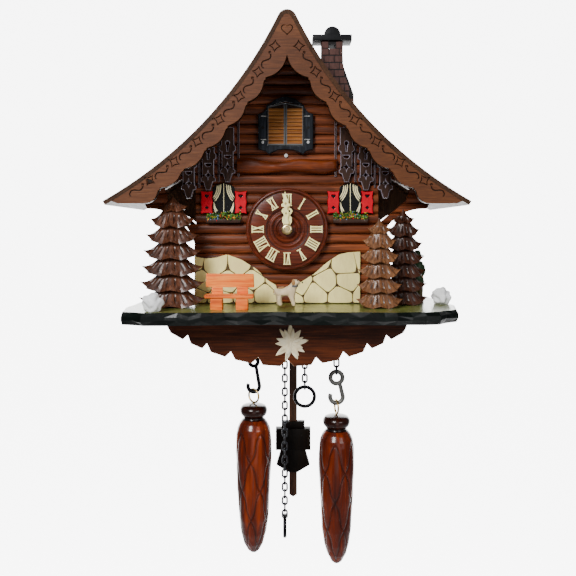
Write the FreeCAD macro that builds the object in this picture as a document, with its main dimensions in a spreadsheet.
"""Battery chalet cuckoo clock: carved gable roof, log front, dial, cuckoo window, shelf with trees,
pendulum, pull chains and pine-cone weights. Millimetres. X right, -Y towards the viewer, Z up.
Pieces are built with z = 0 on top of the shelf and y = 0 on the wall, then lowered so that the
origin is the hole of the wall hanger."""
import FreeCAD, Part
import math
import os
import re
import Sketcher
from FreeCAD import Placement, Rotation, Vector

X_AXIS = Vector(1, 0, 0)
Y_AXIS = Vector(0, 1, 0)
Z_AXIS = Vector(0, 0, 1)

# Driving sizes, in millimetres (angles in degrees).
SIZES = {
    # overall
    "hanger_height": 124.4,       # hanger hole above the shelf
    "case_depth": 82.0,           # wall plane to the face of the front wall
    "wall_half": 68.0,            # half width of the front wall
    "wall_thick": 6.0,
    "fit_gap": 0.3,               # clearance between pieces that move past each other
    # roof
    "roof_half": 123.5,
    "roof_depth": 126.0,
    "apex_height": 210.8,
    "peak_round": 6.5,
    "eave_height": 73.3,
    "roof_sag": 15.0,
    "roof_thick": 3.0,
    "board_thick": 6.0,
    "board_half": 115.0,
    "board_flat_half": 98.0,
    "board_foot_height": 71.7,
    "board_throat_height": 171.7,
    "board_reach": 9.9,
    "lobe_first": 55.1,
    "lobe_pitch": 19.87,
    "lobe_depth": 4.0,
    # chimney
    "chimney_x": 24.8,
    "chimney_wide": 14.7,
    "chimney_deep": 11.0,
    "chimney_top": 188.4,
    "chimney_front": 97.0,
    "chimney_flare": 8.0,
    "flue_wide": 4.9,
    "flue_high": 3.0,
    "cap_wide": 27.8,
    "cap_deep": 16.0,
    "cap_thick": 4.2,
    "dome_radius": 5.8,
    # front wall
    "log_pitch": 7.3,
    "groove_deep": 1.0,
    "groove_wide": 0.9,
    "flare_half": 105.6,
    "flare_low": 69.6,
    "flare_start": 44.0,
    "flare_radius": 33.0,
    "side_half": 62.0,
    "side_thick": 5.0,
    "vent_outer": 88.0,
    # rear frame and door
    "rear_thick": 6.0,
    "door_wide": 79.2,
    "door_low": 12.0,
    "door_high": 99.0,
    "door_thick": 3.6,
    "door_recess": 2.4,
    "door_gap": 0.5,
    "hinge_gap": 4.0,
    "pin_radius": 1.0,
    "pin_fit": 0.06,
    "knuckle_radius": 1.8,
    "knuckle_length": 8.0,
    "hinge_rise": 20.0,
    "latch_length": 18.0,
    "latch_wide": 6.0,
    "latch_thick": 1.4,
    "hanger_wide": 26.0,
    "hanger_high": 22.0,
    "hanger_thick": 1.2,
    "hanger_hole": 3.5,
    "screw_radius": 1.3,
    "screw_head": 2.5,
    "screw_length": 5.0,
    "screw_spread": 16.0,
    # shelf and apron
    "shelf_left": 113.0,
    "shelf_right": 121.0,
    "shelf_depth": 142.0,
    "shelf_thick": 8.5,
    "apron_half": 84.1,
    "apron_front": 104.0,
    "apron_thick": 6.0,
    "apron_drop": 42.0,
    "apron_side_drop": 17.0,
    "notch_deep": 5.0,
    "notch_step": 14.0,
    "flower_radius": 15.5,
    "flower_inner": 7.5,
    "flower_thick": 2.0,
    "flower_x": 2.7,
    "flower_z": -26.0,
    # dial and hands
    "dial_height": 54.4,
    "dial_radius": 30.0,
    "dial_thick": 6.0,
    "dial_groove": 10.4,
    "dial_step": 1.2,
    "numeral_inner": 17.2,
    "numeral_outer": 25.4,
    "numeral_thick": 0.8,
    "bush_radius": 4.0,
    "bush_bore": 2.6,
    "arbor_radius": 1.2,
    "minute_length": 27.6,
    "hour_length": 19.5,
    "hand_wide": 3.4,
    "hand_thick": 0.9,
    "hour_lift": 1.2,
    "minute_lift": 3.0,
    "nut_radius": 3.0,
    "nut_thick": 1.4,
    "minute_angle": 3.0,
    # cuckoo window
    "cuckoo_x": -1.2,
    "leaf_low": 115.7,
    "leaf_high": 31.7,
    "leaf_shoulder": 28.4,
    "leaf_wide": 13.0,
    "leaf_thick": 2.0,
    "leaf_gap": 0.3,
    "frame_half": 20.5,
    "frame_thick": 4.0,
    "frame_low": 110.1,
    "frame_dip": 3.2,
    "frame_shoulder": 140.5,
    "frame_top": 151.6,
    "wire_radius": 0.45,
    "nail_radius": 1.0,
    "sensor_radius": 1.3,
    "sensor_height": 108.4,
    # beam, boards, small windows
    "beam_left": 36.3,
    "beam_right": 37.0,
    "beam_low": 95.4,
    "beam_high": 10.0,
    "beam_thick": 4.5,
    "plank_first": 37.5,
    "plank_pitch": 14.2,
    "plank_wide": 11.6,
    "plank_drop": 5.9,
    "plank_tip": 88.8,
    "plank_shoulder": 6.5,
    "plank_top": 60.0,
    "plank_thick": 4.0,
    "star_half": 2.6,
    "pane_x": 46.4,
    "pane_wide": 15.8,
    "pane_low": 66.0,
    "pane_high": 22.0,
    "pane_arch": 4.0,
    "pane_thick": 1.6,
    "shutter_wide": 9.0,
    "shutter_low": 65.7,
    "shutter_high": 16.8,
    "shutter_thick": 2.2,
    "planter_wide": 25.8,
    "planter_low": 61.0,
    "planter_high": 4.6,
    "planter_deep": 6.0,
    "bloom_high": 5.0,
    # shelf figures
    "stone_thick": 2.5,
    "tree_left_x": -80.0,
    "tree_left_y": 106.0,
    "tree_left_half": 24.0,
    "tree_left_high": 80.0,
    "tree_mid_x": 63.8,
    "tree_mid_y": 110.5,
    "tree_mid_half": 16.8,
    "tree_mid_high": 63.5,
    "tree_right_x": 83.6,
    "tree_right_y": 92.0,
    "tree_right_half": 18.0,
    "tree_right_high": 70.5,
    "tree_left_relief": 11.0,
    "tree_mid_relief": 8.5,
    "tree_right_relief": 8.5,
    "bench_x": -39.0,
    "bench_y": 120.0,
    "bench_wide": 32.7,
    "bench_seat_high": 8.0,
    "bench_board": 2.2,
    "bench_back_low": 14.5,
    "bench_back_high": 9.0,
    "bench_leg_wide": 7.6,
    "bench_leg_reach": 7.6,
    "bench_deep": 11.0,
    "dog_x": 0.0,
    "dog_y": 113.0,
    "dog_long": 18.6,
    "dog_high": 18.0,
    "woodsman_x": 96.5,
    "woodsman_y": 78.0,
    "woodsman_high": 39.0,
    "boulder_left_x": -88.6,
    "boulder_left_y": 133.0,
    "boulder_right_x": 111.0,
    "boulder_right_y": 88.0,
    "boulder_half": 6.6,
    # movement
    "move_half": 35.0,
    "move_low": 12.0,
    "move_high": 92.0,
    "move_back": 30.0,
    "move_wall": 2.0,
    "cell_radius": 7.2,
    "cell_length": 50.0,
    "cell_low": 76.0,
    "cell_pitch": 15.2,
    "speaker_radius": 19.0,
    "speaker_deep": 12.0,
    "knob_radius": 7.0,
    "knob_thick": 6.0,
    "switch_travel": 4.0,
    "bird_floor": 118.6,
    "bird_tip": 61.0,
    "bird_half": 6.5,
    # pendulum and hanging pieces
    "swing_x": 5.0,
    "swing_y": 22.0,
    "swing_z": 38.0,
    "rod_wide": 6.4,
    "rod_thick": 3.0,
    "rod_end": -165.0,
    "slot_half": 12.0,
    "slot_deep": 8.0,
    "bob_top": -103.0,
    "bob_thick": 9.0,
    "bob_fit": 0.1,
    "weight_y": 60.0,
    "chain_y": 40.0,
    "left_x": -25.5,
    "right_x": 37.9,
    "long_x": -1.75,
    "short_x": 14.1,
    "eye_drop": 8.0,
    "eye_radius": 2.6,
    "eye_wire": 0.55,
    "link_pitch": 5.4,
    "link_wide": 4.5,
    "link_wire": 0.45,
    "link_gap": 0.3,
    "chain_gap": 0.1,
    "long_links": 29.0,
    "short_links": 10.0,
    "left_links": 5.0,
    "right_links": 7.0,
    "ring_radius": 7.75,
    "ring_wire": 1.05,
    "hook_wire": 1.05,
    "hook_loop": 3.2,
    "hook_bend": 4.4,
    "hook_rise": 18.6,
    "right_hook_wire": 1.2,
    "right_hook_loop": 4.6,
    "right_hook_bend": 4.9,
    "right_hook_rise": 14.6,
    "cone_eye": 5.0,
    "cone_eye_wire": 0.75,
    "cone_long": 114.0,
    "cone_radius": 14.0,
    "knob_cone_radius": 10.6,
}

# Sizes worked out from the driving ones, as spreadsheet formulas.
FORMULAS = {
    "vent_inner": "side_half + 4.5",
    "pane_radius": "(pane_wide^2 / 4 + pane_arch^2) / (2 * pane_arch)",
    "apron_sweep": "apron_drop - apron_side_drop",
    "screw_z": "hanger_height",
    "latch_x": "door_wide / 2 + 5",
    "latch_z": "door_low + door_high / 2",
    "roof_rise": "apex_height - eave_height",
    "roof_chord": "sqrt(roof_half^2 + roof_rise^2)",
    "roof_radius": "(roof_chord^2 / 4 + roof_sag^2) / (2 * roof_sag)",
    "roof_cx": "roof_half / 2 + roof_rise / roof_chord * (roof_radius - roof_sag)",
    "roof_cz": "(apex_height + eave_height) / 2 + roof_half / roof_chord * (roof_radius - roof_sag)",
    "roof_under": "roof_radius + roof_thick",
    "peak_span": "roof_radius + peak_round",
    "peak_centre": "roof_cz - sqrt(peak_span^2 - roof_cx^2)",
    "peak_x": "peak_round * roof_cx / peak_span",
    "peak_z": "peak_centre + peak_round * (roof_cz - peak_centre) / peak_span",
    "under_round": "peak_round - roof_thick",
    "under_peak_x": "under_round * roof_cx / peak_span",
    "under_peak_z": "peak_centre + under_round * (roof_cz - peak_centre) / peak_span",
    "peak_height": "peak_centre + peak_round",
    "under_apex": "peak_centre + under_round",
    "under_eave_x": "roof_half - roof_thick * (roof_cx - roof_half) / roof_radius",
    "under_eave_z": "eave_height - roof_thick * (roof_cz - eave_height) / roof_radius",
    "board_end_z": "roof_cz - sqrt(roof_under^2 - (roof_cx - board_half - 3)^2)",
    "lobe_turn": "lobe_pitch / roof_under * 180 / pi",
    "first_turn": "acos(roof_cx / roof_radius) / (1 deg) + lobe_first / roof_under * 180 / pi",
    "lobe_radius": "(lobe_pitch^2 / 4 + lobe_depth^2) / (2 * lobe_depth)",
    "leaf_left_x": "cuckoo_x - leaf_wide",
    "leaf_right_x": "cuckoo_x + leaf_wide",
    "dial_face": "dial_thick - dial_step",
    "hour_back": "case_depth + dial_thick + hour_lift",
    "minute_back": "case_depth + dial_thick + minute_lift",
    "arbor_tip": "minute_back + hand_thick + nut_thick + 0.4",
    "cell_mid": "move_back + cell_radius + 1.2",
    "rod_bore": "pin_radius + pin_fit",
    "eye_z": "-shelf_thick - eye_drop",
    "hinge_x": "-door_wide / 2 - hinge_gap / 2 + 0.6",
    "hinge_y": "-(knuckle_radius + 0.2)",
    "eye_pivot": "eye_z - eye_radius",
    "chain_top": "eye_pivot + eye_wire + link_wire + link_gap",
    "link_foot": "2 * link_wire + chain_gap",
    "long_pivot": "chain_top - long_links * link_pitch - link_foot",
    "short_pivot": "chain_top - short_links * link_pitch - link_foot",
    "right_chain_pivot": "chain_top - right_links * link_pitch - link_foot",
    "left_chain_pivot": "chain_top - left_links * link_pitch - link_foot",
    "left_hook_top": "left_chain_pivot + link_wire + hook_wire + link_gap",
    "right_hook_top": "right_chain_pivot + link_wire + right_hook_wire + link_gap",
    "left_cone_pivot": "left_hook_top - hook_loop - hook_rise - hook_bend",
    "right_cone_pivot": "right_hook_top - right_hook_loop - right_hook_rise - right_hook_bend",
    "left_eye_z": "left_cone_pivot + hook_wire + cone_eye_wire + link_gap - cone_eye",
    "right_eye_z": "right_cone_pivot + right_hook_wire + cone_eye_wire + link_gap - cone_eye",
    "ring_lift": "link_wire + ring_wire + link_gap - ring_radius",
}

doc = FreeCAD.newDocument("CuckooClock")
sheet = doc.addObject("Spreadsheet::Sheet", "Sizes")
names = {}


def fill_sheet():
    """Writes each size beside its name, with the name as the cell's alias."""
    row = 0
    for name, value in list(SIZES.items()) + [(key, "=" + text) for key, text in FORMULAS.items()]:
        row += 1
        sheet.set(f"A{row}", name)
        sheet.set(f"B{row}", str(value))
        sheet.setAlias(f"B{row}", name)
        names[name] = "Sizes." + name
    doc.recompute()


def link(text):
    """An expression in which each size's name points at its cell."""
    return re.sub(r"[a-z_]+", lambda word: names.get(word.group(), word.group()), str(text))


def number(text):
    """The present value of an expression."""
    value = sheet.evalExpression(link(text))
    return float(getattr(value, "Value", value))


def size(name):
    """The value of one size."""
    return number(name)


def bind(piece, **paths):
    for path, text in paths.items():
        piece.setExpression(path.replace("__", "."), link(text))
    return piece


heights = {}


def locate(piece, x="0", y="0", z="0"):
    """Ties a piece's place to the sheet."""
    heights[piece.Name] = z
    return bind(piece, Placement__Base__x=x, Placement__Base__y=y, Placement__Base__z=z)


def box(name, wide, deep, high, x, y, z):
    """A block from its low corner."""
    piece = doc.addObject("Part::Box", name)
    bind(piece, Length=wide, Width=deep, Height=high)
    return locate(piece, x, y, z)


TURNS = {"X": Rotation(Y_AXIS, 90), "-X": Rotation(Y_AXIS, -90), "Y": Rotation(X_AXIS, -90),
         "Z": Rotation()}


def rod(name, radius, length, x, y, z, along="Z"):
    """A cylinder from the centre of its start face."""
    piece = doc.addObject("Part::Cylinder", name)
    piece.Placement = Placement(Vector(), TURNS[along])
    bind(piece, Radius=radius, Height=length)
    return locate(piece, x, y, z)


def taper(name, low, top, length, x, y, z, along="Z"):
    """A cone frustum from the centre of its start face."""
    piece = doc.addObject("Part::Cone", name)
    piece.Placement = Placement(Vector(), TURNS[along])
    bind(piece, Radius1=low, Radius2=top, Height=length)
    return locate(piece, x, y, z)


def ring(name, radius, wire, x, y, z, along="Z"):
    """A torus round its centre, with its axis along the named direction."""
    piece = doc.addObject("Part::Torus", name)
    piece.Placement = Placement(Vector(), TURNS[along])
    bind(piece, Radius1=radius, Radius2=wire)
    return locate(piece, x, y, z)


def egg(name, half_x, half_y, half_z, x, y, z):
    """An ellipsoid from its centre."""
    piece = doc.addObject("Part::Ellipsoid", name)
    bind(piece, Radius1=half_z, Radius2=half_x, Radius3=half_y)
    return locate(piece, x, y, z)


def fuse(name, parts):
    piece = doc.addObject("Part::MultiFuse", name)
    piece.Shapes = parts
    return piece


def cut(name, base, tools):
    piece = doc.addObject("Part::Cut", name)
    piece.Base = base
    piece.Tool = tools[0] if len(tools) == 1 else fuse(name + "_tools", tools)
    return piece


def common(name, first, second):
    piece = doc.addObject("Part::Common", name)
    piece.Base = first
    piece.Tool = second
    return piece


def tie_point(sketch, geometry, spot, x, y):
    """Ties one point of a sketch to the sheet by its two distances from the origin."""
    for kind, text in (("DistanceX", x), ("DistanceY", y)):
        value = number(text)
        index = sketch.addConstraint(Sketcher.Constraint(kind, -1, 1, geometry, spot, value))
        sketch.setExpression(f"Constraints[{index}]", link(text))


def draw_loop(sketch, outline):
    """A closed outline. Each point is (x, z) or (x, z, radius), where radius bends the edge that
    leaves it: positive bulges to the right of the direction of travel."""
    spots = [(number(point[0]), number(point[1])) for point in outline]
    edges = []
    for index, point in enumerate(outline):
        start = Vector(*spots[index], 0)
        end = Vector(*spots[(index + 1) % len(spots)], 0)
        if len(point) == 2:
            edge = sketch.addGeometry(Part.LineSegment(start, end))
            edges.append((edge, 1, 2))
            continue
        radius = number(point[2])
        chord = end - start
        inward = Vector(-chord.y, chord.x, 0).normalize() * math.copysign(1, radius)
        centre = (start + end) / 2 + inward * math.sqrt(radius ** 2 - chord.Length ** 2 / 4)
        first, last = (start, end) if radius > 0 else (end, start)
        turns = [math.atan2(spot.y - centre.y, spot.x - centre.x) for spot in (first, last)]
        if turns[1] < turns[0]:
            turns[1] += 2 * math.pi
        circle = Part.Circle(centre, Z_AXIS, abs(radius))
        edge = sketch.addGeometry(Part.ArcOfCircle(circle, *turns))
        edges.append((edge, 1, 2) if radius > 0 else (edge, 2, 1))
        sign = "-" if radius < 0 else ""
        index = sketch.addConstraint(Sketcher.Constraint("Radius", edge, abs(radius)))
        sketch.setExpression(f"Constraints[{index}]", link(f"{sign}({point[2]})"))
    for index, (edge, start_spot, end_spot) in enumerate(edges):
        following, following_start, _ = edges[(index + 1) % len(edges)]
        sketch.addConstraint(Sketcher.Constraint("Coincident", edge, end_spot, following, following_start))
        tie_point(sketch, edge, start_spot, outline[index][0], outline[index][1])


def draw_circle(sketch, x, y, radius):
    circle = Part.Circle(Vector(number(x), number(y), 0), Z_AXIS, number(radius))
    edge = sketch.addGeometry(circle)
    tie_point(sketch, edge, 3, x, y)
    index = sketch.addConstraint(Sketcher.Constraint("Radius", edge, number(radius)))
    sketch.setExpression(f"Constraints[{index}]", link(radius))


def plate(name, outline, back, thick, holes=(), circles=(), plane="XZ_Plane"):
    """A padded body. In the XZ plane it runs from y = -back forward by thick; in the XY plane it
    runs from z = back upward."""
    body = doc.addObject("PartDesign::Body", name)
    sketch = body.newObject("Sketcher::SketchObject", name + "_outline")
    face = [item for item in body.Origin.OriginFeatures if item.Role == plane][0]
    sketch.AttachmentSupport = (face, [""])
    sketch.MapMode = "FlatFace"
    for loop in [outline] + list(holes):
        draw_loop(sketch, loop)
    for circle in circles:
        draw_circle(sketch, *circle)
    pad = body.newObject("PartDesign::Pad", name + "_pad")
    pad.Profile = sketch
    bind(pad, Length=thick)
    if plane == "XZ_Plane":
        return locate(body, y=f"-({back})")
    return locate(body, z=back)


def spun(name, outline, x, y, z, turn=Rotation()):
    """A turned body: the outline, in (radius, height), is revolved about its own axis."""
    body = doc.addObject("PartDesign::Body", name)
    body.Placement = Placement(Vector(), turn)
    sketch = body.newObject("Sketcher::SketchObject", name + "_outline")
    face = [item for item in body.Origin.OriginFeatures if item.Role == "XZ_Plane"][0]
    sketch.AttachmentSupport = (face, [""])
    sketch.MapMode = "FlatFace"
    draw_loop(sketch, outline)
    turned = body.newObject("PartDesign::Revolution", name + "_turned")
    turned.Profile = sketch
    turned.ReferenceAxis = (sketch, ["V_Axis"])
    turned.Angle = 360
    return locate(body, x, y, z)


def mirrored(chain):
    """The same points on the other side of the centre line, in the opposite order. Each bend stays
    with its own edge."""
    flipped = []
    for index in reversed(range(len(chain))):
        flipped.append((f"-({chain[index][0]})", chain[index][1]) + chain[index - 1][2:])
    return flipped


def symmetric(chain):
    """A closed outline from its right half. Ends that lie on the centre line aren't repeated."""
    flipped = mirrored(chain)
    if chain[-1][0] == "0":
        chain = chain[:-1] + [chain[-1][:2] + flipped[0][2:]]
        flipped = flipped[1:]
    if chain[0][0] == "0":
        flipped = flipped[:-1]
    return chain + flipped


def rectangle(left, right, low, high):
    return [(left, low), (right, low), (right, high), (left, high)]


def solid(name, shape):
    """A piece whose shape is made directly from the sizes."""
    piece = doc.addObject("Part::Feature", name)
    piece.Shape = shape
    return piece


nodes = []


def node(name, piece):
    """Makes a piece a sub-part: names its file and lowers it to the hanger's frame."""
    bind(piece, Placement__Base__z=f"({heights.get(piece.Name, '0')}) - hanger_height")
    piece.Label = name
    nodes.append(piece)


def roof_cutters():
    """The two large cylinders whose faces are the undersides of the swept roof."""
    cutters = []
    for side in (1, -1):
        cutters.append(rod(f"roof_cutter_{side + 1}", "roof_under", "roof_depth + 20",
                           f"{side} * roof_cx", "-(roof_depth + 10)", "roof_cz", "Y"))
    return cutters


def roof(cutters):
    """Two swept panels that meet at the ridge, the carved board under their front edge, and the
    chimney standing on the right one."""
    half = [("0", "peak_height", "-peak_round"), ("peak_x", "peak_z", "roof_radius"),
            ("roof_half", "eave_height"), ("under_eave_x", "under_eave_z", "-roof_under"),
            ("under_peak_x", "under_peak_z", "under_round"), ("0", "under_apex")]
    node("roof_panel_right", plate("panel_right", half, "0", "roof_depth"))
    node("roof_panel_left", plate("panel_left", mirrored(half), "0", "roof_depth"))
    reach = "(roof_under + board_reach)"
    chain = [("0", "board_throat_height", "lobe_radius")]
    for cusp in range(6):
        turn = f"(first_turn + {cusp} * lobe_turn)"
        chain.append((f"roof_cx - {reach} * cos{turn}", f"roof_cz - {reach} * sin{turn}", "lobe_radius"))
    chain += [("board_flat_half", "board_foot_height"), ("board_half", "board_foot_height"),
              ("board_half + 3", "board_end_z", "-roof_under"),
              ("under_peak_x", "under_peak_z", "under_round"), ("0", "under_apex")]
    board_back = "roof_depth - board_thick"
    node("barge_board", plate("board", symmetric(chain), board_back, "board_thick"))

    right = "(chimney_x + chimney_wide)"
    shaft = [("chimney_x", "chimney_top - 70"), (f"{right} + chimney_flare", "chimney_top - 70"),
             (f"{right} + chimney_flare", "chimney_top - 38"), (right, "chimney_top - 16"),
             (right, "chimney_top"), ("chimney_x", "chimney_top")]
    stack = plate("stack", shaft, "chimney_front - chimney_deep", "chimney_deep")
    flue = box("flue", "flue_wide", "chimney_deep + 2", "flue_high",
               "chimney_x + (chimney_wide - flue_wide) / 2", "-(chimney_front + 1)",
               "chimney_top - flue_high - 2.5")
    above = rod("above_roof", "roof_radius", "roof_depth", "roof_cx", "-roof_depth", "roof_cz", "Y")
    node("chimney_stack", common("chimney_on_roof", cut("open_stack", stack, [flue]), above))
    middle = "(chimney_x + chimney_wide / 2)"
    cap_front = "-(chimney_front + (cap_deep - chimney_deep) / 2)"
    slab = box("cap_slab", "cap_wide", "cap_deep", "cap_thick", f"{middle} - cap_wide / 2", cap_front,
               "chimney_top")
    dome = rod("cap_dome", "dome_radius", "cap_deep", middle, cap_front, "chimney_top + cap_thick", "Y")
    below = box("dome_cutter", "cap_wide", "cap_deep + 2", "dome_radius + 5", f"{middle} - cap_wide / 2",
                f"{cap_front} - 1", "chimney_top - dome_radius - 5")
    node("chimney_cap", cut("cap", fuse("cap_whole", [slab, dome]), [below]))


def wall_outline():
    """The case's front and back boards: upright sides that flare out under the eaves."""
    return symmetric([("wall_half", "0"), ("wall_half", "flare_start", "-flare_radius"),
                      ("flare_half - 3", "flare_low"), ("flare_half", "flare_low + 4.7"),
                      ("flare_half + 2.4", "flare_low + 20"), ("0", "peak_centre")])


def case(cutters):
    """The wooden box: front wall, side walls and the rear frame."""
    hole = [("leaf_left_x", "leaf_low"), ("leaf_right_x", "leaf_low"),
            ("leaf_right_x", "leaf_low + leaf_shoulder"), ("cuckoo_x", "leaf_low + leaf_high"),
            ("leaf_left_x", "leaf_low + leaf_shoulder")]
    vent = [("vent_inner", "flare_low - 12"), ("vent_outer", "flare_low + 6"),
            ("vent_outer + 2", "flare_low + 14"), ("vent_inner", "flare_low + 28")]
    board = plate("wall_board", wall_outline(), "case_depth - wall_thick", "wall_thick",
                  holes=[hole, vent, mirrored(vent)], circles=[("0", "dial_height", "bush_radius")])
    grooves = []
    rows = int(size("apex_height") / size("log_pitch"))
    for row in range(1, rows + 1):
        grooves.append(box(f"groove_{row}", "2 * roof_half", "groove_deep + 1", "groove_wide",
                           "-roof_half", "-(case_depth + 1)", f"{row} * log_pitch"))
    node("front_wall", cut("wall", board, grooves + cutters))

    walls = []
    for side in (1, -1):
        walls.append(box(f"side_{side + 1}", "side_thick", "case_depth - wall_thick - rear_thick",
                         "apex_height", f"{side} * (side_half + side_thick / 2) - side_thick / 2",
                         "-(case_depth - wall_thick)", "0"))
    node("side_walls", cut("sides", fuse("side_blocks", walls), cutters))

    opening = rectangle("-(door_wide / 2 + hinge_gap)", "door_wide / 2 + door_gap",
                        "door_low", "door_low + door_high")
    frame = plate("rear_board", wall_outline(), "0", "rear_thick", holes=[opening],
                  circles=[("0", "hanger_height", "hanger_hole + 3"),
                           ("latch_x", "latch_z", "screw_radius")])
    recess = box("hanger_recess", "hanger_wide + 2 * fit_gap", "hanger_thick + 1",
                 "hanger_high + 2 * fit_gap", "-hanger_wide / 2 - fit_gap", "-hanger_thick",
                 "hanger_height - hanger_high / 2 - fit_gap")
    latch_well = rod("latch_well", "latch_length / 2 + 3 * fit_gap", "latch_thick + 2",
                     "latch_x", "-(latch_thick + 0.8)", "latch_z", "Y")
    drills = []
    for side in (1, -1):
        drills.append(rod(f"screw_drill_{side + 1}", "screw_radius", "screw_length",
                          f"{side} * screw_spread / 2", "-screw_length", "screw_z", "Y"))
    node("rear_frame", cut("rear", frame, [recess, latch_well] + drills + cutters))


def countersunk(name, x, z):
    """A countersunk screw driven in from the back, flush with the back plane."""
    shank = rod(name + "_shank", "screw_radius", "screw_length - hanger_thick", x, "-screw_length", z, "Y")
    head = taper(name + "_head", "screw_radius", "screw_head", "hanger_thick", x, "-hanger_thick", z, "Y")
    return fuse(name, [shank, head])


def rear_fittings():
    """The hinged service door with its turn latch, and the plate that hangs the clock."""
    slab = box("door_slab", "door_wide", "door_thick", "door_high - 2 * door_gap", "-door_wide / 2",
               "-(door_recess + door_thick)", "door_low + door_gap")
    knuckles = []
    bores = []
    pins = []
    for index in (0, 1):
        low = f"(door_low + hinge_rise + {index} * (door_high - 2 * hinge_rise - knuckle_length))"
        barrel = rod(f"knuckle_{index}", "knuckle_radius", "knuckle_length", "hinge_x", "hinge_y", low)
        leaf = box(f"hinge_leaf_{index}", "7", "0.9", "knuckle_length", "hinge_x", "-door_recess", low)
        knuckles += [barrel, leaf]
        bores.append(rod(f"knuckle_bore_{index}", "pin_radius + pin_fit", "knuckle_length + 2",
                         "hinge_x", "hinge_y", f"{low} - 1"))
        ears = []
        for end, start in ((0, f"{low} - 2.6"), (1, f"{low} + knuckle_length + 0.2")):
            ears.append(box(f"hinge_ear_{index}_{end}", "hinge_x + door_wide / 2 + hinge_gap + 0.5",
                            "2 * pin_radius + 0.4", "2.4", "-(door_wide / 2 + hinge_gap)",
                            "hinge_y - pin_radius - 0.4", start))
        pin = rod(f"hinge_pin_{index}", "pin_radius", "knuckle_length + 5", "hinge_x", "hinge_y",
                  f"{low} - 2.5")
        pins.append(fuse(f"hinge_{index}", ears + [pin]))
    node("rear_door", cut("door", fuse("door_whole", [slab] + knuckles), bores))

    bar = box("latch_bar", "latch_wide", "latch_thick", "latch_length", "latch_x - latch_wide / 2",
              "-(latch_thick + 0.6)", "latch_z - latch_length / 2")
    eye = rod("latch_eye", "screw_radius + pin_fit", "latch_thick + 2", "latch_x",
              "-(latch_thick + 1.6)", "latch_z", "Y")
    node("door_latch", cut("latch", bar, [eye]))
    latch_screw = fuse("latch_screw", [
        rod("latch_shank", "screw_radius", "screw_length - 0.5", "latch_x", "-screw_length", "latch_z", "Y"),
        rod("latch_head", "screw_head", "0.5", "latch_x", "-0.5", "latch_z", "Y")])
    screws = [countersunk(f"hanger_screw_{side + 1}", f"{side} * screw_spread / 2", "screw_z")
              for side in (1, -1)]
    node("rear_hardware", fuse("rear_steel", screws + [latch_screw] + pins))

    plate_block = box("hanger_block", "hanger_wide", "hanger_thick", "hanger_high", "-hanger_wide / 2",
                      "-hanger_thick", "hanger_height - hanger_high / 2")
    holes = [rod("nail_hole", "hanger_hole", "hanger_thick + 2", "0", "-hanger_thick - 1",
                 "hanger_height", "Y")]
    for side in (1, -1):
        holes.append(taper(f"screw_sink_{side + 1}", "screw_radius", "screw_head", "hanger_thick",
                           f"{side} * screw_spread / 2", "-hanger_thick", "screw_z", "Y"))
    node("wall_hanger", cut("hanger", plate_block, holes))


def shelf():
    """The natural-edged base board, the toothed apron under it and the flower on the apron."""
    edge = [("-shelf_left * 0.93", "0"), ("-shelf_left", "-shelf_depth * 0.78"),
            ("-shelf_left * 0.97", "-shelf_depth * 0.95"), ("-shelf_left * 0.84", "-shelf_depth"),
            ("-shelf_left * 0.5", "-shelf_depth * 0.99"), ("-shelf_left * 0.15", "-shelf_depth * 0.965"),
            ("shelf_right * 0.2", "-shelf_depth * 0.97"), ("shelf_right * 0.6", "-shelf_depth * 0.985"),
            ("shelf_right * 0.84", "-shelf_depth * 0.96"), ("shelf_right * 0.96", "-shelf_depth * 0.85"),
            ("shelf_right", "-shelf_depth * 0.67"), ("shelf_right * 0.93", "0")]
    slot = rectangle("swing_x - slot_half", "swing_x + slot_half",
                     "-(swing_y + slot_deep / 2)", "-(swing_y - slot_deep / 2)")
    node("base_plate", plate("base", edge, "-shelf_thick", "shelf_thick", holes=[slot], plane="XY_Plane"))

    chain = [("0", "notch_deep - apron_drop")]
    for tooth in range(5):
        near = f"(apron_half * sin({tooth} * notch_step))"
        far = f"(apron_half * sin({tooth + 1} * notch_step))" if tooth < 4 else "apron_half"
        for place, inset in (("near", 0.3), ("far", 0.84)):
            x = f"({near} + ({far} - {near}) * {inset})"
            chain.append((x, f"-apron_drop + apron_sweep * ({x} / apron_half)^2"))
        if tooth < 4:
            chain.append((far, f"notch_deep - apron_drop + apron_sweep * ({far} / apron_half)^2"))
    chain += [("apron_half", "-apron_drop + apron_sweep + 3"), ("apron_half", "-shelf_thick")]
    node("apron", plate("apron_board", symmetric(chain), "apron_front - apron_thick", "apron_thick"))

    petals = []
    for point in range(20):
        radius = "flower_radius" if point % 2 == 0 else "flower_inner"
        petals.append((f"flower_x + {radius} * cos({point * 18 + 9})",
                       f"flower_z + {radius} * sin({point * 18 + 9})"))
    node("edelweiss", plate("flower", petals, "apron_front", "flower_thick"))


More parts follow.
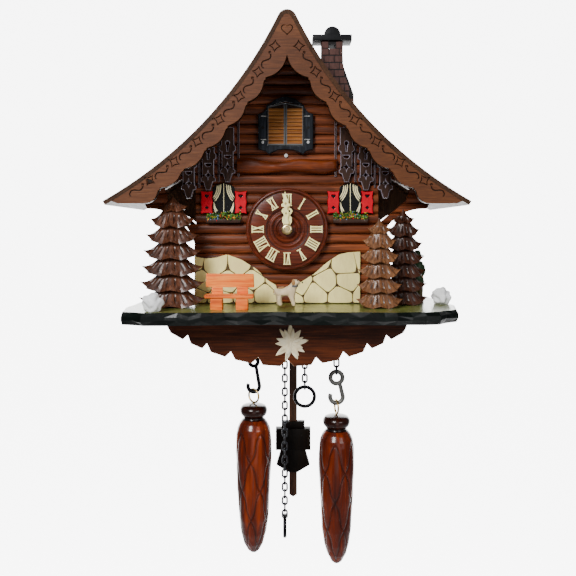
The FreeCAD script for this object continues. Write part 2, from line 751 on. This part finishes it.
def face_trim(cutters):
    """What is glued on the front wall: beam, hanging boards, cuckoo window frame, small windows."""
    face = "case_depth"
    beam = [("-beam_left", "beam_low"), ("beam_right - 8", "beam_low - 0.6"), ("beam_right", "beam_low + 2"),
            ("beam_right", "beam_low + beam_high"), ("8", "beam_low + beam_high - 2"),
            ("-6", "beam_low + beam_high + 0.4"), ("-beam_left", "beam_low + beam_high - 2.6")]
    node("log_beam", plate("beam", beam, face, "beam_thick"))

    boards = []
    for index in range(3):
        for side, flip in ((1, lambda outline: outline), (-1, mirrored)):
            left = f"(plank_first + {index} * plank_pitch)"
            tip = f"(plank_tip - {index} * plank_drop)"
            middle = f"({left} + plank_wide / 2)"
            top = f"({tip} + plank_top - {index} * plank_drop)"
            outline = [(left, f"{tip} + plank_shoulder"), (f"{middle} - 1.6", tip), (f"{middle} + 1.6", tip),
                       (f"{left} + plank_wide", f"{tip} + plank_shoulder"),
                       (f"{left} + plank_wide", f"{top} - plank_wide"), (left, top)]
            star_z = f"({tip} + 8.6)"
            star = [(f"{middle} - star_half", star_z), (middle, f"{star_z} - star_half"),
                    (f"{middle} + star_half", star_z), (middle, f"{star_z} + star_half")]
            boards.append(plate(f"plank_{index}_{side + 1}", flip(outline), face, "plank_thick",
                                holes=[flip(star)]))
    node("gable_planks", cut("planks", fuse("plank_set", boards), cutters))

    inner = [("leaf_left_x - leaf_gap", "leaf_low - leaf_gap"),
             ("leaf_right_x + leaf_gap", "leaf_low - leaf_gap"),
             ("leaf_right_x + leaf_gap", "leaf_low + leaf_shoulder + leaf_gap"),
             ("cuckoo_x", "leaf_low + leaf_high + 2 * leaf_gap"),
             ("leaf_left_x - leaf_gap", "leaf_low + leaf_shoulder + leaf_gap")]
    outer = [("cuckoo_x - frame_half", "frame_low + frame_dip + 1.6"),
             ("cuckoo_x - frame_half + 6", "frame_low"), ("cuckoo_x", "frame_low + frame_dip"),
             ("cuckoo_x + frame_half - 6", "frame_low"), ("cuckoo_x + frame_half", "frame_low + frame_dip + 1.6"),
             ("cuckoo_x + frame_half", "frame_shoulder", "-30"),
             ("cuckoo_x + frame_half * 0.55", "frame_top - 3.6", "18"), ("cuckoo_x - frame_half * 0.55",
             "frame_top - 3.6", "-30"), ("cuckoo_x - frame_half", "frame_shoulder")]
    node("cuckoo_frame", plate("frame_ring", outer, face, "frame_thick", holes=[inner]))

    fixings = []
    front = "-(case_depth + frame_thick + wire_radius)"
    for side in (1, -1):
        for row, height in enumerate(("leaf_low + 4", "leaf_low + 21")):
            start = f"cuckoo_x + {side} * (leaf_wide + leaf_gap + 2.6) - 2"
            fixings.append(rod(f"wire_{side + 1}_{row}", "wire_radius", "4", start, front, height, "X"))
        fixings.append(rod(f"nail_{side + 1}", "nail_radius", "1", f"cuckoo_x + {side} * (frame_half - 4)",
                           "-(case_depth + frame_thick + 1)", "leaf_low + 2", "Y"))
    fixings.append(rod("light_sensor", "sensor_radius", "1", "cuckoo_x + 0.5", "-(case_depth + 1)",
                       "sensor_height", "Y"))
    node("front_hardware", fuse("fixings", fixings))

    panes = []
    shutters = []
    planters = []
    blooms = []
    for side in (1, -1):
        centre = f"{side} * pane_x"
        pane_left, pane_right = f"{centre} - pane_wide / 2", f"{centre} + pane_wide / 2"
        spring = "pane_low + pane_high - pane_arch"
        arched = [(pane_left, "pane_low"), (pane_right, "pane_low"),
                  (pane_right, spring, "pane_radius"), (pane_left, spring)]
        panes.append(plate(f"pane_{side + 1}", arched, "case_depth", "pane_thick"))
        for hand in (1, -1):
            start = f"{centre} + {hand} * (pane_wide / 2 + shutter_wide / 2) - shutter_wide / 2"
            shutters.append(box(f"shutter_{side + 1}_{hand + 1}", "shutter_wide", "shutter_thick",
                                "shutter_high", start, "-(case_depth + shutter_thick)", "shutter_low"))
        planters.append(box(f"planter_{side + 1}", "planter_wide", "planter_deep", "planter_high",
                            f"{centre} - planter_wide / 2", "-(case_depth + planter_deep)",
                            "planter_low - planter_high / 2"))
        blooms.append(box(f"bloom_{side + 1}", "planter_wide - 1", "planter_deep - shutter_thick",
                          "bloom_high", f"{centre} - planter_wide / 2 + 0.5",
                          "-(case_depth + planter_deep)", "planter_low + planter_high / 2"))
    node("small_windows", fuse("panes", panes))
    node("shutters", fuse("shutter_set", shutters))
    node("flower_boxes", fuse("planted", planters + blooms))


def stone_walls():
    """Two low rough walls with a valley between them, painted on thin boards."""
    left = [("-68", "0"), ("-6", "0"), ("-8", "13"), ("-18", "22"), ("-33", "32"), ("-44", "35.5"),
            ("-52", "33"), ("-68", "34.5")]
    right = [("5", "0"), ("54", "0"), ("53", "37.5"), ("43", "37.5"), ("35", "33"), ("20", "23"), ("9", "15.5")]
    pieces = [plate("stones_left", scaled(left, "wall_half / 68"), "case_depth", "stone_thick"),
              plate("stones_right", scaled(right, "wall_half / 68"), "case_depth", "stone_thick")]
    node("stone_walls", fuse("stones", pieces))


def scaled(outline, factor):
    """An outline whose widths follow a size."""
    return [(f"({x}) * {factor}", z) for x, z in outline]


def carved_tree(name, tiers):
    """Stacked skirts of a carved fir, flattened front to back."""
    skirts = []
    for tier in range(tiers):
        low = f"({name}_high * {tier / tiers:.4f})"
        reach = f"({name}_half * {1 - 0.8 * tier / tiers:.4f})"
        tall = f"({name}_high * {1.45 / tiers if tier < tiers - 1 else 1 / tiers:.4f})"
        tip = f"({name}_half * {0.35 * (1 - tier / tiers) if tier < tiers - 1 else 0.02:.4f})"
        skirts.append(taper(f"{name}_skirt_{tier}", reach, tip, tall, f"{name}_x", f"-{name}_y", low))
    slab = box(f"{name}_slab", f"2 * {name}_half + 2", f"2 * {name}_relief", f"{name}_high + 1",
               f"{name}_x - {name}_half - 1", f"-{name}_y - {name}_relief", "0")
    return common(f"{name}_carving", fuse(f"{name}_cones", skirts), slab)


def shelf_figures():
    """Trees, bench, dog, woodsman and boulders standing on the shelf."""
    node("tree_left", carved_tree("tree_left", 7))
    node("trees_right", fuse("right_pair", [carved_tree("tree_mid", 6), carved_tree("tree_right", 7)]))

    left = "(bench_x - bench_wide / 2)"
    parts = [box("bench_seat_board", "bench_wide", "bench_deep", "bench_board", left,
                 "-(bench_y + bench_deep / 2)", "bench_seat_high"),
             box("bench_back_board", "bench_wide", "bench_board", "bench_back_high", left,
                 "-(bench_y - bench_deep / 2) - bench_board", "bench_back_low")]
    for side in (1, -1):
        start = f"bench_x + {side} * bench_leg_reach - bench_leg_wide / 2"
        parts.append(box(f"bench_leg_{side + 1}", "bench_leg_wide", "bench_deep - 2", "bench_seat_high",
                         start, "-(bench_y + bench_deep / 2) + 1", "0"))
        parts.append(box(f"bench_post_{side + 1}", "bench_leg_wide", "bench_board",
                         "bench_back_low - bench_seat_high - bench_board", start,
                         "-(bench_y - bench_deep / 2) - bench_board", "bench_seat_high + bench_board"))
    node("bench", fuse("bench_joined", parts))

    body_z = "dog_high * 0.55"
    dog = [rod("dog_body", "dog_high * 0.2", "dog_long * 0.62", "dog_x - dog_long * 0.36", "-dog_y",
               body_z, "X"),
           egg("dog_head", "dog_high * 0.17", "dog_high * 0.15", "dog_high * 0.17",
               "dog_x + dog_long * 0.33", "-dog_y", "dog_high * 0.82"),
           taper("dog_muzzle", "dog_high * 0.11", "dog_high * 0.07", "dog_long * 0.2",
                 "dog_x + dog_long * 0.36", "-dog_y", "dog_high * 0.79", "X"),
           taper("dog_neck", "dog_high * 0.15", "dog_high * 0.12", "dog_high * 0.3",
                 "dog_x + dog_long * 0.24", "-dog_y", "dog_high * 0.5"),
           taper("dog_tail", "dog_high * 0.07", "dog_high * 0.04", "dog_high * 0.3",
                 "dog_x - dog_long * 0.33", "-dog_y", "dog_high * 0.6")]
    for fore in (1, -1):
        for side in (1, -1):
            dog.append(rod(f"dog_leg_{fore + 1}_{side + 1}", "dog_high * 0.08", "dog_high * 0.5",
                           f"dog_x + {fore} * dog_long * 0.22", f"-dog_y + {side} * dog_high * 0.12", "0"))
    node("dog", fuse("dog_whole", dog))

    tall = "woodsman_high"
    spot = ("woodsman_x", "-woodsman_y")
    man = [taper("man_coat", f"{tall} * 0.15", f"{tall} * 0.11", f"{tall} * 0.32", *spot, f"{tall} * 0.4"),
           taper("man_legs", f"{tall} * 0.1", f"{tall} * 0.13", f"{tall} * 0.42", *spot, "0"),
           egg("man_head", f"{tall} * 0.085", f"{tall} * 0.085", f"{tall} * 0.1", *spot, f"{tall} * 0.79"),
           rod("man_brim", f"{tall} * 0.14", f"{tall} * 0.03", *spot, f"{tall} * 0.84"),
           taper("man_hat", f"{tall} * 0.09", f"{tall} * 0.03", f"{tall} * 0.13", *spot, f"{tall} * 0.87")]
    node("woodsman", fuse("man", man))

    rocks = []
    for side in ("left", "right"):
        stone = egg(f"rock_{side}", "boulder_half", "boulder_half * 0.85", "boulder_half", f"boulder_{side}_x",
                    f"-boulder_{side}_y", "boulder_half * 0.8")
        bed = box(f"rock_bed_{side}", "4 * boulder_half", "4 * boulder_half", "boulder_half",
                  f"boulder_{side}_x - 2 * boulder_half", f"-boulder_{side}_y - 2 * boulder_half",
                  "-boulder_half")
        rocks.append(cut(f"boulder_{side}", stone, [bed]))
    node("boulders", fuse("rocks", rocks))


FORWARD = Rotation(X_AXIS, 90)    # turns a piece's own axis to point at the viewer

NUMERALS = ["I", "II", "III", "IIII", "V", "VI", "VII", "VIII", "IX", "X", "XI", "XII"]


def stroke(start, end, wide, thick):
    """One straight stroke of a numeral, lying on the dial plane."""
    lean = end - start
    side = Vector(-lean.y, lean.x, 0).normalize() * (wide / 2)
    corners = [start - side, start + side, end + side, end - side, start - side]
    return Part.Face(Part.makePolygon(corners)).extrude(Vector(0, 0, thick))


def numeral_shape(text, inner, outer, thick):
    """A Roman numeral standing on the inner radius, with bars along its foot and head."""
    pitch = {"I": 1.75, "V": 3.6, "X": 3.6}
    total = sum(pitch[letter] for letter in text)
    strokes = []
    left = -total / 2
    for letter in text:
        right = left + pitch[letter]
        middle = (left + right) / 2
        lean = pitch[letter] / 2 - 0.7
        if letter == "I":
            strokes.append(stroke(Vector(middle, inner, 0), Vector(middle, outer, 0), 1.0, thick))
        elif letter == "V":
            strokes.append(stroke(Vector(middle, inner, 0), Vector(middle - lean, outer, 0), 1.1, thick))
            strokes.append(stroke(Vector(middle, inner, 0), Vector(middle + lean, outer, 0), 0.7, thick))
        else:
            strokes.append(stroke(Vector(middle + lean, inner, 0), Vector(middle - lean, outer, 0), 1.1, thick))
            strokes.append(stroke(Vector(middle - lean, inner, 0), Vector(middle + lean, outer, 0), 0.7, thick))
        left = right
    for level in (inner, outer):
        strokes.append(stroke(Vector(-total / 2, level, 0), Vector(total / 2, level, 0), 0.7, thick))
    return strokes[0].fuse(strokes[1:]).removeSplitter()


def dial_and_hands():
    """Turned wooden dial, raised numerals, and the two hands on their arbor."""
    groove = "dial_groove"
    profile = [("bush_radius", "0"), ("dial_radius", "0"), ("dial_radius", "dial_thick - 1.4"),
               ("dial_radius - 1.2", "dial_thick"), ("dial_radius - 2.8", "dial_thick"),
               ("dial_radius - 3.6", "dial_face"), (f"{groove} + 0.6", "dial_face"),
               (groove, "dial_face - 0.8"), (f"{groove} - 0.6", "dial_face"), ("bush_radius", "dial_face")]
    node("dial", spun("dial_disc", profile, "0", "-case_depth", "dial_height", FORWARD))

    pieces = []
    for hour, text in enumerate(NUMERALS, start=1):
        shape = numeral_shape(text, size("numeral_inner"), size("numeral_outer"), size("numeral_thick"))
        shape.rotate(Vector(), Z_AXIS, -30 * hour)
        pieces.append(shape)
    numerals = solid("numeral_set", Part.makeCompound(pieces))
    numerals.Placement = Placement(Vector(), FORWARD)
    node("numerals", locate(numerals, "0", "-(case_depth + dial_face)", "dial_height"))

    hour = [("-1.6", "0"), ("-1", "-7"), ("1", "-7"), ("1.6", "0"), ("hand_wide * 0.7", "hour_length * 0.5"),
            ("hand_wide * 0.35", "hour_length * 0.72"), ("0", "hour_length"),
            ("-hand_wide * 0.35", "hour_length * 0.72"), ("-hand_wide * 0.7", "hour_length * 0.5")]
    hour_plate = plate("hour_plate", hour, "hour_back", "hand_thick")
    bind(hour_plate, Placement__Base__z="dial_height")
    pipe = rod("hour_pipe", "bush_bore - 0.08", "hour_lift + hand_thick + dial_thick", "0",
               "-(hour_back + hand_thick)", "dial_height", "Y")
    boss = rod("hour_boss", "bush_radius", "hand_thick", "0", "-(hour_back + hand_thick)", "dial_height", "Y")
    bore = rod("hour_bore", "arbor_radius + pin_fit", "40", "0", "-(hour_back + 10)", "dial_height", "Y")
    node("hour_hand", cut("hour_bored", fuse("hour_whole", [hour_plate, pipe, boss]), [bore]))

    minute = [("-1.4", "0"), ("-0.8", "-8"), ("0.8", "-8"), ("1.4", "0"),
              ("hand_wide * 0.5", "minute_length * 0.5"), ("hand_wide * 0.3", "minute_length * 0.75"),
              ("0", "minute_length"), ("-hand_wide * 0.3", "minute_length * 0.75"),
              ("-hand_wide * 0.5", "minute_length * 0.5")]
    minute_plate = plate("minute_plate", minute, "minute_back", "hand_thick")
    minute_plate.Placement = Placement(Vector(), Rotation(Y_AXIS, -size("minute_angle")))
    locate(minute_plate, "0", "-minute_back", "dial_height")
    boss = rod("minute_boss", "bush_radius - 0.6", "hand_thick", "0", "-(minute_back + hand_thick)",
               "dial_height", "Y")
    hole = rod("minute_hole", "arbor_radius", "8", "0", "-(minute_back + 4)", "dial_height", "Y")
    node("minute_hand", cut("minute_bored", fuse("minute_whole", [minute_plate, boss]), [hole]))
    arbor = rod("arbor", "arbor_radius", "arbor_tip - move_back + knob_thick + 2", "0", "-arbor_tip",
                "dial_height", "Y")
    node("minute_arbor", arbor)
    nut = rod("nut_body", "nut_radius", "nut_thick", "0", "-(minute_back + hand_thick + nut_thick)",
              "dial_height", "Y")
    nut_hole = rod("nut_hole", "arbor_radius", "nut_thick + 2", "0",
                   "-(minute_back + hand_thick + nut_thick + 1)", "dial_height", "Y")
    node("hand_nut", cut("nut", nut, [nut_hole]))
    knob = rod("knob_body", "knob_radius", "knob_thick", "0", "-(move_back - 2)", "dial_height", "Y")
    knob_hole = rod("knob_hole", "arbor_radius", "knob_thick + 2", "0", "-(move_back - 1)",
                    "dial_height", "Y")
    node("set_knob", cut("knob", knob, [knob_hole]))


def movement():
    """The plastic movement behind the dial, its cells, cover, switch and loudspeaker."""
    front = "case_depth - wall_thick"
    deep = f"({front} - move_back)"
    outer = box("move_outer", "2 * move_half", deep, "move_high", "-move_half", f"-({front})", "move_low")
    inner = box("move_inner", "2 * (move_half - move_wall)", f"{deep} - 2 * move_wall", "move_high",
                "-move_half + move_wall", f"-({front}) + move_wall", "move_low - move_wall")
    bay_low = "(cell_low - cell_radius - 1)"
    bay_high = "(cell_pitch + 2 * cell_radius + 2)"
    bay_block = box("bay_block", "cell_length + 6", "2 * cell_radius + 4.4", f"{bay_high} + 4",
                    "-cell_length / 2 - 3", "-(move_back + 2 * cell_radius + 4.4)", f"{bay_low} - 2")
    bay = box("bay", "cell_length + 2", "2 * cell_radius + 3.4", bay_high, "-cell_length / 2 - 1",
              "-(move_back + 2 * cell_radius + 2.4)", bay_low)
    bush = rod("bush", "bush_radius", "dial_thick + wall_thick + 1", "0", "-(case_depth + dial_thick + 0.6)",
               "dial_height", "Y")
    bores = [rod("bush_hole", "bush_bore", "dial_thick + wall_thick + move_wall + 3", "0",
                 "-(case_depth + dial_thick + 1)", "dial_height", "Y"),
             rod("back_hole", "arbor_radius + pin_fit", "move_wall + 2", "0", "-(move_back + move_wall + 1)",
                 "dial_height", "Y")]
    rails = [box(f"rail_{end}", "cell_length / 2 + 4 + move_half", "2", "1.4", "-cell_length / 2 - 4",
                 "-move_back", height)
             for end, height in ((0, f"{bay_low} - 3.6"), (1, f"{bay_low} + {bay_high} + 2.2"))]
    hanger_pin = rod("swing_pin", "pin_radius", "move_back - swing_y + rod_thick / 2 + 1.5", "swing_x",
                     "-move_back", "swing_z", "Y")
    stop = rod("swing_stop", "pin_radius + 1", "0.8", "swing_x", "-swing_y + rod_thick / 2 + 0.7",
               "swing_z", "Y")
    channel = box("switch_channel", "5 + switch_travel", "move_wall + 2", "3.4", "-28",
                  "-(move_back + move_wall + 1)", "move_low + 6")
    shell = cut("move_shell", outer, [inner])
    guide = box("bird_guide", "6", "case_depth - wall_thick - move_back - 10",
                "bird_floor - 2.2 - move_low - move_high", "cuckoo_x - 3",
                "-(case_depth - wall_thick - 6)", "move_low + move_high")
    whole = fuse("move_whole", [shell, bay_block, bush, guide] + rails + [hanger_pin, stop])
    node("movement_housing", cut("move_cut", whole, [bay, channel] + bores))
    cells = [rod(f"cell_{row}", "cell_radius", "cell_length", "-cell_length / 2", "-cell_mid",
                 f"cell_low + {row} * cell_pitch", "X") for row in (0, 1)]
    node("batteries", fuse("cells", cells))
    node("battery_cover", box("cover", "cell_length + 6", "1.4", f"{bay_high} + 4", "-cell_length / 2 - 3",
                              "-(move_back - 0.1)", f"{bay_low} - 2"))
    slider = box("slider", "4.6", "move_wall + 1.6", "3", "-27.8", "-(move_back + move_wall)",
                 "move_low + 6.2")
    node("mode_switch", slider)
    cone = taper("speaker_cone", "speaker_radius", "speaker_radius * 0.55", "speaker_deep * 0.6",
                 "side_half", "-(case_depth + move_back) / 2", "speaker_radius + 3", "-X")
    magnet = rod("speaker_magnet", "speaker_radius * 0.5", "speaker_deep * 0.4", "side_half - speaker_deep",
                 "-(case_depth + move_back) / 2", "speaker_radius + 3", "X")
    node("speaker", fuse("speaker_whole", [cone, magnet]))


def cuckoo():
    """The bird on its carriage, and the two louvred window leaves it pushes open."""
    leaves = []
    for side, outer in ((-1, "leaf_left_x"), (1, "leaf_right_x")):
        inner = f"cuckoo_x + {side} * leaf_gap / 2"
        outline = [(inner, "leaf_low"), (outer, "leaf_low"), (outer, "leaf_low + leaf_shoulder"),
                   (inner, "leaf_low + leaf_high - 0.4")]
        leaves.append(plate(f"leaf_{side + 1}", outline, "case_depth + 1", "leaf_thick"))
    node("leaf_left", leaves[0])
    node("leaf_right", leaves[1])

    middle = "cuckoo_x"
    tip = "-bird_tip"
    bird = [egg("bird_head", "4.6", "4.8", "4.6", middle, f"{tip} + 8", "bird_floor + 15"),
            taper("bird_beak", "0.4", "1.6", "5", middle, tip, "bird_floor + 15", "Y"),
            egg("bird_body", "bird_half", "12", "6.4", middle, f"{tip} + 20", "bird_floor + 9"),
            box("bird_tail", "7", "12", "1.6", f"{middle} - 3.5", f"{tip} + 28", "bird_floor + 8"),
            rod("bird_foot", "1.4", "8", middle, f"{tip} + 19", "bird_floor")]
    node("cuckoo_bird", fuse("bird", bird))
    node("bird_carriage", box("carriage", "8", "30", "2", f"{middle} - 4", f"{tip} + 6", "bird_floor - 2"))


def pendulum():
    """A wooden rod on the movement's pin, and the carved house-shaped bob that slides on it."""
    x = "swing_x"
    half = "rod_wide / 2"
    stick = [(f"{x} - {half}", "rod_end + 2"), (x, "rod_end"), (f"{x} + {half}", "rod_end + 2"),
             (f"{x} + {half}", "swing_z + 4"), (f"{x} - {half}", "swing_z + 4")]
    node("pendulum_rod", plate("stick", stick, "swing_y - rod_thick / 2", "rod_thick",
                               circles=[(x, "swing_z", "rod_bore")]))
    top = "bob_top"
    outline = [(f"{x} + 3.55", f"{top} - 41.5"), (f"{x} + 13.8", f"{top} - 35.5"),
               (f"{x} + 9.9", f"{top} - 23.2"), (f"{x} + 14.4", f"{top} - 23.2"),
               (f"{x} + 14.4", f"{top} - 5.6"), (f"{x} + 7.8", f"{top} - 5.6"), (f"{x} + 7.8", top)]
    outline += [(f"2 * {x} - ({across})", level) for across, level in reversed(outline)]
    block = plate("bob_block", outline, "swing_y - bob_thick / 2", "bob_thick")
    slot = box("bob_slot", "rod_wide + 2 * bob_fit", "rod_thick + 2 * bob_fit", "60",
               f"{x} - rod_wide / 2 - bob_fit", "-(swing_y + rod_thick / 2 + bob_fit)", f"{top} - 50")
    node("pendulum_bob", cut("bob", block, [slot]))


def oval_link(long, wide, wire):
    """A chain link round the origin: two half rings joined by straight sides, in the XZ plane."""
    radius = (wide - wire * 2) / 2
    reach = long / 2 - wire - radius
    link = None
    for sign, start in ((1, 0), (-1, 180)):
        bow = Part.makeTorus(radius, wire, Vector(), Z_AXIS, -180, 180, 180)
        bow.rotate(Vector(), Z_AXIS, start)
        bow.translate(Vector(0, sign * reach, 0))
        side = Part.makeCylinder(wire, 2 * reach, Vector(sign * radius, -reach, 0), Y_AXIS)
        link = bow.fuse(side) if link is None else link.fuse([bow, side])
    link = link.removeSplitter()
    link.rotate(Vector(), X_AXIS, 90)
    return link


def chain(name, count, x, y, first_turn):
    """A run of links, each a quarter turn from the last, hung from its eye. Count names a size.
    The first link crosses its eye, whose own plane is given by the first turn."""
    pitch = size("link_pitch")
    wire = size("link_wire")
    long = pitch + 4 * wire + size("chain_gap")
    base = oval_link(long, size("link_wide"), wire)
    links = []
    for index in range(int(size(count))):
        link = base.copy()
        link.rotate(Vector(), Z_AXIS, first_turn + 90 * (index % 2))
        link.translate(Vector(0, 0, wire - long / 2 - index * pitch))
        links.append(link)
    run = solid(name + "_links", Part.makeCompound(links))
    node(name, locate(run, x, y, "chain_top"))


OPEN_TURN = 160    # where the open hook's arc starts, seen from the front
STEM_TURN = 30     # where the stem leaves the closed loop


def s_hook(side, kind):
    """A flat S of wire: a closed loop above, a stem that crosses over, an open hook below."""
    wire, loop, bend, rise = (size(f"{kind}_{part}") for part in ("wire", "loop", "bend", "rise"))
    loop_centre = Vector(0, 0, -loop)
    bend_centre = Vector(0, 0, -loop - rise)
    closed = Part.makeTorus(loop, wire, loop_centre, Y_AXIS)
    open_arc = Part.makeTorus(bend, wire, Vector(), Z_AXIS, -180, 180, 200)
    open_arc.rotate(Vector(), X_AXIS, 90)
    open_arc.rotate(Vector(), Y_AXIS, -OPEN_TURN)
    open_arc.translate(bend_centre)
    start = bend_centre + Vector(bend, 0, 0)
    lean = math.radians(STEM_TURN)
    finish = loop_centre + Vector(loop * math.sin(lean), 0, -loop * math.cos(lean))
    stem = Part.makeCylinder(wire, (finish - start).Length, start, finish - start)
    joint = Part.makeSphere(wire, start)
    weld = Part.makeSphere(wire, finish)
    hook = solid(f"hook_wire_{side}", closed.fuse([stem, joint, weld, open_arc]).removeSplitter())
    node(f"s_hook_{side}", locate(hook, f"{side}_x", "-weight_y", f"{side}_hook_top"))


def weight(side, turn):
    """A pine-cone weight and the brass eye screwed into its head."""
    radius = size("cone_eye")
    wire = size("cone_eye_wire")
    eye = Part.makeTorus(radius, wire, Vector(), X_AXIS)
    shank = Part.makeCylinder(wire, 8, Vector(0, 0, -radius - 7.6), Z_AXIS)
    eye = eye.fuse(shank).removeSplitter()
    eye.rotate(Vector(), Z_AXIS, turn)
    eye_piece = solid(f"eye_{side}", eye)
    node(f"cone_{side}_eye", locate(eye_piece, f"{side}_x", "-weight_y", f"{side}_eye_z"))
    top = f"{side}_eye_z - cone_eye - cone_eye_wire"
    knob = "knob_cone_radius"
    profile = [("0", "-cone_long"), ("cone_radius * 0.3", "-cone_long * 0.985"),
               ("cone_radius * 0.6", "-cone_long * 0.92"), ("cone_radius * 0.78", "-cone_long * 0.82"),
               ("cone_radius * 0.9", "-cone_long * 0.62"), ("cone_radius", "-cone_long * 0.36"),
               ("cone_radius", "-cone_long * 0.22"), ("cone_radius * 0.9", "-cone_long * 0.155"),
               ("cone_radius * 0.66", "-cone_long * 0.115"), ("cone_radius * 0.62", "-10.6"),
               (knob, "-8"), (knob, "-4.4"), (f"{knob} * 0.7", "-0.8"), ("cone_eye_wire", "0"),
               ("cone_eye_wire", "-6.9"), ("0", "-6.9")]
    node(f"cone_{side}", spun(f"cone_body_{side}", profile, f"{side}_x", "-weight_y", top))


def hanging_pieces():
    """Hooks under the shelf and everything that hangs on them."""
    eyes = []
    spots = (("left", "left_x", "-weight_y", "Y"), ("right", "right_x", "-weight_y", "Y"),
             ("long", "long_x", "-chain_y", "X"), ("short", "short_x", "-chain_y", "X"))
    for label, x, y, facing in spots:
        bow = ring(f"base_eye_{label}", "eye_radius", "eye_wire", x, y, "eye_z", facing)
        shank = rod(f"base_shank_{label}", "eye_wire", "eye_drop - eye_radius", x, y, "eye_z + eye_radius")
        eyes.append(fuse(f"base_hook_{label}", [bow, shank]))
    node("chain_hooks", fuse("hooks", eyes))

    for side, kind, eye_turn in (("left", "hook", 50), ("right", "right_hook", 12)):
        chain(f"{side}_chain", f"{side}_links", f"{side}_x", "-weight_y", 90)
        s_hook(side, kind)
        weight(side, eye_turn)
    for label, axis in (("long", "X"), ("short", "Y")):
        chain(f"{label}_chain", f"{label}_links", f"{label}_x", "-chain_y", 0)
        pull = ring(f"{label}_pull", "ring_radius", "ring_wire", f"{label}_x", "-chain_y",
                    f"{label}_pivot + ring_lift", axis)
        node(f"{label}_ring", pull)


def main():
    fill_sheet()
    cutters = roof_cutters()
    roof(cutters)
    case(cutters)
    rear_fittings()
    shelf()
    face_trim(cutters)
    stone_walls()
    shelf_figures()
    dial_and_hands()
    movement()
    cuckoo()
    pendulum()
    hanging_pieces()
    doc.recompute()

    faults = [item.Label for item in doc.Objects if {"Invalid", "Error"} & set(item.State)]
    faults += [item.Label for item in nodes if item.Shape.isNull() or not item.Shape.isValid()]
    if faults:
        raise RuntimeError("these pieces failed: " + ", ".join(faults))
    os.makedirs("parts", exist_ok=True)
    for item in nodes:
        item.Shape.exportStep(f"parts/{item.Label}.step")
    print(len(nodes), "sub-parts written")


main()
